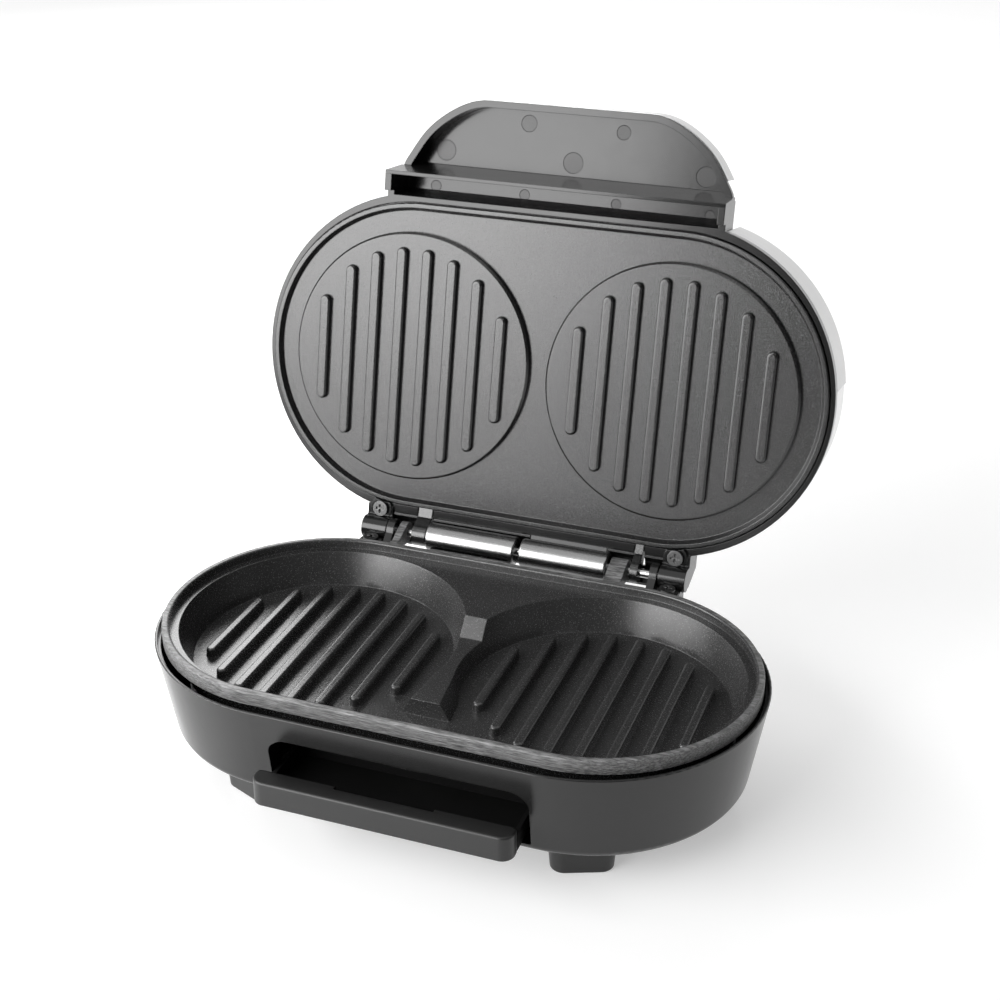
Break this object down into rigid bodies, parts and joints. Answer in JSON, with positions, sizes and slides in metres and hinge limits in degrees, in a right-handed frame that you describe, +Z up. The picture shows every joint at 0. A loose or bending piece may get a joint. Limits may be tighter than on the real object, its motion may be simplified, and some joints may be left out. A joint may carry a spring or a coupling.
{
  "type": "electric burger maker",
  "caption": "Countertop burger maker with round griddles side by side under a hinged lid with a front handle, and a pull-out drip tray.",
  "frame": {"origin": "on the table top, under the middle of the bounding box with the lid open", "axes": "+X to the user's right, +Y to the back where the lid hinges, +Z up"},
  "size_m": [0.2602, 0.2376, 0.2471],
  "materials": {
    "black_gloss_plastic": "semi-gloss moulded",
    "black_satin_plastic": "satin moulded",
    "rubber_pads": "matt",
    "nonstick_coating": "non-stick coating on cast aluminium, fine speckle",
    "silver_lid_cover": "metallic lacquer, satin",
    "silver_rear_cover": "metallic lacquer, gloss",
    "steel_screws": "zinc plated",
    "dark_screws": "nickel plated",
    "steel_pin": "ground steel",
    "satin_barrel": "satin",
    "element_tube": "heat-tinted",
    "zinc_sheet": "mill finish",
    "phenolic_brown": "matt",
    "fuse_body": "plain",
    "white_ceramic": "glazed",
    "bushing_rubber": "matt",
    "wire_sleeve": "woven glass sleeve",
    "red_lens": "polished",
    "green_lens": "polished",
    "lamp_glass": "clear",
    "carrier_plastic": "satin"
  },
  "bodies": {
    "base": {"base_housing": "black_gloss_plastic", "base_cover": "black_satin_plastic", "lower_plate": "nonstick_coating", "lower_plate_screws": "steel_screws", "foot_front_left": "black_satin_plastic", "foot_front_right": "black_satin_plastic", "foot_back_left": "black_satin_plastic", "foot_back_right": "black_satin_plastic", "foot_pads": "rubber_pads", "foot_screws": "steel_screws", "tray_guide": "black_satin_plastic", "lower_heat_shield": "zinc_sheet", "lower_left_element": "element_tube", "lower_right_element": "element_tube", "lower_element_straps": "zinc_sheet", "lower_strap_screws": "steel_screws", "thermostat": "phenolic_brown", "thermostat_bracket": "zinc_sheet", "thermal_fuse": "fuse_body", "terminal_block": "white_ceramic", "terminal_screws": "steel_screws", "cord_bushing": "bushing_rubber", "base_wires": "wire_sleeve", "hinge_pin": "steel_pin", "base_hinge_barrel": "satin_barrel", "base_ear_screws": "dark_screws"},
    "lid": {"lid_housing": "black_gloss_plastic", "lid_cover_front": "silver_lid_cover", "lid_cover_rear": "silver_rear_cover", "upper_plate": "nonstick_coating", "upper_plate_screws": "steel_screws", "upper_heat_shield": "zinc_sheet", "upper_left_element": "element_tube", "upper_right_element": "element_tube", "upper_element_straps": "zinc_sheet", "upper_strap_screws": "steel_screws", "power_lens": "red_lens", "ready_lens": "green_lens", "lamp_carrier": "carrier_plastic", "lamp_carrier_screws": "steel_screws", "indicator_lamps": "lamp_glass", "lid_wires": "wire_sleeve", "lid_hinge_barrel": "satin_barrel", "lid_ear_screws": "dark_screws"},
    "tray": {"drip_tray": "black_satin_plastic"}
  },
  "joints": [
    {"name": "lid_hinge", "type": "hinge", "parent": "base", "child": "lid", "pos_m": [0, 0.046, 0.0595], "axis": [1, 0, 0], "range_deg": [0, 101.9]},
    {"name": "tray_slide", "type": "slide", "parent": "base", "child": "tray", "axis": [0, -1, 0], "range_m": [0, 0.038]}
  ]
}
